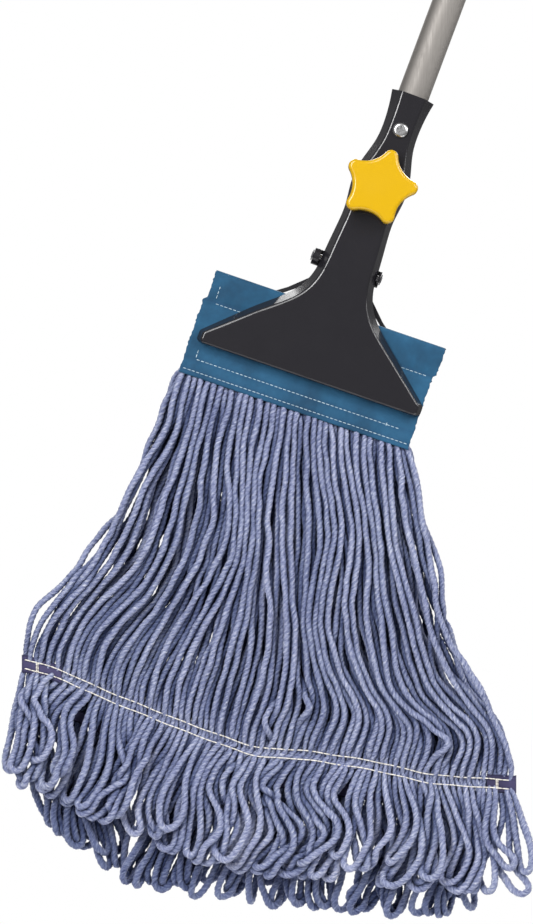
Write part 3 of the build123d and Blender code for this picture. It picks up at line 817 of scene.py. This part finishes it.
def makeTailTape(name, tailLine, side, wraps, node):
    # tape behind the strings, turned round both edges of the half
    left, right = tailLine[0], tailLine[-1]
    inside, outside, rows = tailTape["inside"], tailTape["outside"], tailTape["rows"]
    turn = [math.pi * q / 8 for q in range(9)]
    middle, bend = (inside + outside) / 2, (outside - inside) / 2
    path = [(q, outside) for q in np.linspace(left[0] + wraps[0], left[0] - 0.6, 24)]
    path += [(left[0] - 0.8 - 2.4 * math.sin(q), middle + bend * math.cos(q)) for q in turn]
    path += [(q, inside) for q in np.linspace(left[0] - 0.4, right[0] + 0.4, 160)]
    path += [(right[0] + 0.8 + 2.4 * math.sin(q), middle - bend * math.cos(q)) for q in turn]
    path += [(q, outside) for q in np.linspace(right[0] + 0.6, right[0] - wraps[1], 20)]
    rises = np.linspace(-tailTape["half"], tailTape["half"], rows)
    points, tones = [], []
    for x, depth in path:
        z = np.interp(x, tailLine[:, 0], tailLine[:, 1])
        narrow = tailTape["behind"] if depth < inside + 1 else 1
        for r in rises:
            seam = math.exp(-((abs(r) - tailTape["seams"]) / 0.8) ** 2)
            points.append(np.array((x, side * (depth - 0.25 * seam), z + r * narrow)) * mm)
            # darker selvedges, and painted shade along each seam where the tape is pulled in
            tones.append(0.5 if abs(r) > tailTape["border"] else 1 - 0.25 * seam)
    faces = []
    for i in range(len(path) - 1):
        for j in range(rows - 1):
            a = i * rows + j
            faces.append((a, a + 1, a + rows + 1, a + rows))
    cloth = makeMesh(name, points, faces, tailMaterial, shade=tones)
    solid = cloth.modifiers.new("thickness", "SOLIDIFY")
    solid.thickness = tailTape["cloth"] * mm
    solid.offset = 0
    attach(cloth, "mop_head")
    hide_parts(node)


for label, tailLine, side, wraps in (("Front", frontTail, -1, (28, 20)), ("Back", backTail, 1, (24, 24))):
    makeTailTape("tailbandTape" + label, tailLine, side, wraps, label.lower() + "_tailband")
    tailStitches(label, tailLine, side, wraps)
print("tailbands sewn")


# Studio

studio = {
    "floor": -0.8,
    "floorRadius": 0.8,
    "distance": 3.0,
    "lens": 148.0,
    "aim": (-0.1155, 0.0, -0.288),
    "ambient": 0.2,
}
floorMaterial = newMaterial("paleFloor", {"Base Color": linearColour("#f4f4f4"), "Roughness": 0.9})[0]
rim = [(math.cos(q * math.pi / 48), math.sin(q * math.pi / 48)) for q in range(96)]
floor = makeMesh("floor", [(studio["aim"][0] + studio["floorRadius"] * x, studio["floorRadius"] * y, studio["floor"])
                           for x, y in rim], [tuple(range(96))], floorMaterial)

world = bpy.data.worlds.new("studio")
world.use_nodes = True
bpy.context.scene.world = world
backdrop = world.node_tree.nodes["Background"]
rays = addNode(world.node_tree, "LightPath", {})
strength = addNode(world.node_tree, "MapRange", {"To Min": studio["ambient"], "To Max": 1.0},
                   [("Value", rays.outputs["Is Camera Ray"])])
backdrop.inputs["Color"].default_value = (1, 1, 1, 1)
world.node_tree.links.new(strength.outputs["Result"], backdrop.inputs["Strength"])


def softbox(name, place, aim, size, power):
    lamp = bpy.data.lights.new(name, "AREA")
    lamp.shape = "RECTANGLE"
    lamp.size, lamp.size_y = size
    lamp.energy = power
    thing = bpy.data.objects.new(name, lamp)
    thing.location = place
    thing.rotation_euler = (Vector(aim) - Vector(place)).to_track_quat("-Z", "Y").to_euler()
    bpy.context.scene.collection.objects.link(thing)


softbox("keyLight", (-1.0, -2.0, 1.3), studio["aim"], (1.5, 1.5), 47)
softbox("fillLight", (1.6, -2.2, 0.9), studio["aim"], (1.2, 1.2), 18)
# upright boxes that draw bright lines along the clamp's rounded edges
softbox("leftLight", (-1.05, -1.95, 0.3), (0, 0, -0.1), (0.6, 0.9), 27)
softbox("rightStrip", (1.3, -1.2, 0.65), (0, 0, -0.15), (0.2, 0.9), 10)
softbox("rightWall", (2.2, -0.2, 0.4), (0, 0, 0), (0.8, 1.2), 16)
# and light for whoever walks round it
softbox("backLight", (1.1, 2.3, 1.3), studio["aim"], (1.5, 1.5), 60)
softbox("backFill", (-0.7, 2.4, 1.5), studio["aim"], (1.0, 1.0), 26)

camera = bpy.data.cameras.new("camera")
camera.lens = studio["lens"]
camera.sensor_width = 36
eye = bpy.data.objects.new("camera", camera)
eye.location = Vector(studio["aim"]) + Vector((0, -studio["distance"], 0))
eye.rotation_euler = (math.pi / 2, 0, 0)
bpy.context.scene.collection.objects.link(eye)
bpy.context.scene.camera = eye
bpy.context.scene.view_settings.view_transform = "Standard"

print("studio ready")
